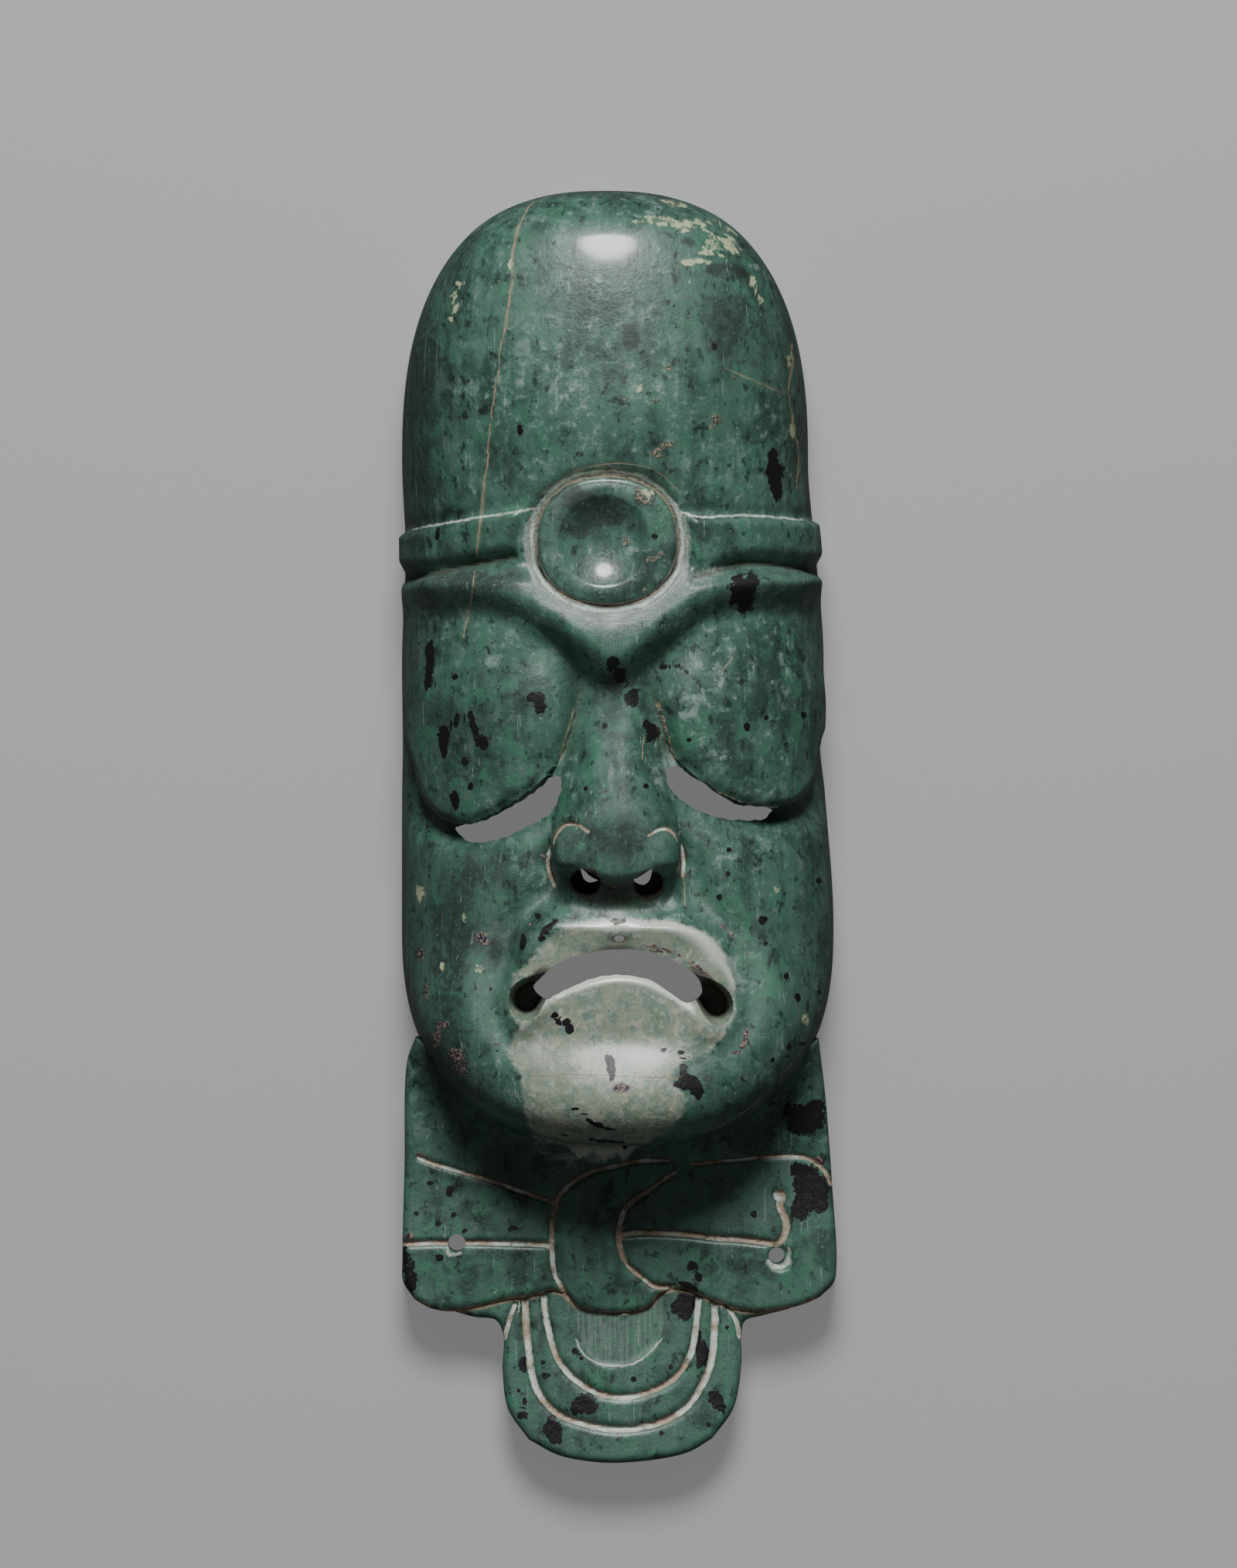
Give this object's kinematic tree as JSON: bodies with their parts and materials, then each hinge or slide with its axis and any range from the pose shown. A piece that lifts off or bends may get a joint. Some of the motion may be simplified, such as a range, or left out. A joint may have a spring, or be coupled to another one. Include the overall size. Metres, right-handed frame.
{
  "type": "carved stone mask",
  "caption": "Tall hollow-backed jade mask with headband, dished brow disc, slit eyes and down-turned mouth over a flat knotted collar and hanging lobe; lies on its back.",
  "frame": {"origin": "centre of the bounding box in X and Y, on the plane of the flat back that the mask lies on", "axes": "+Z out of the face, +Y up the face towards the crown, +X to the right as the face is looked at"},
  "size_m": [0.0617, 0.18, 0.039],
  "materials": {
    "jade": "polished mottled green jade with tan dirt in the cuts"
  },
  "bodies": {
    "root": {"jade_mask": "jade"}
  },
  "joints": []
}
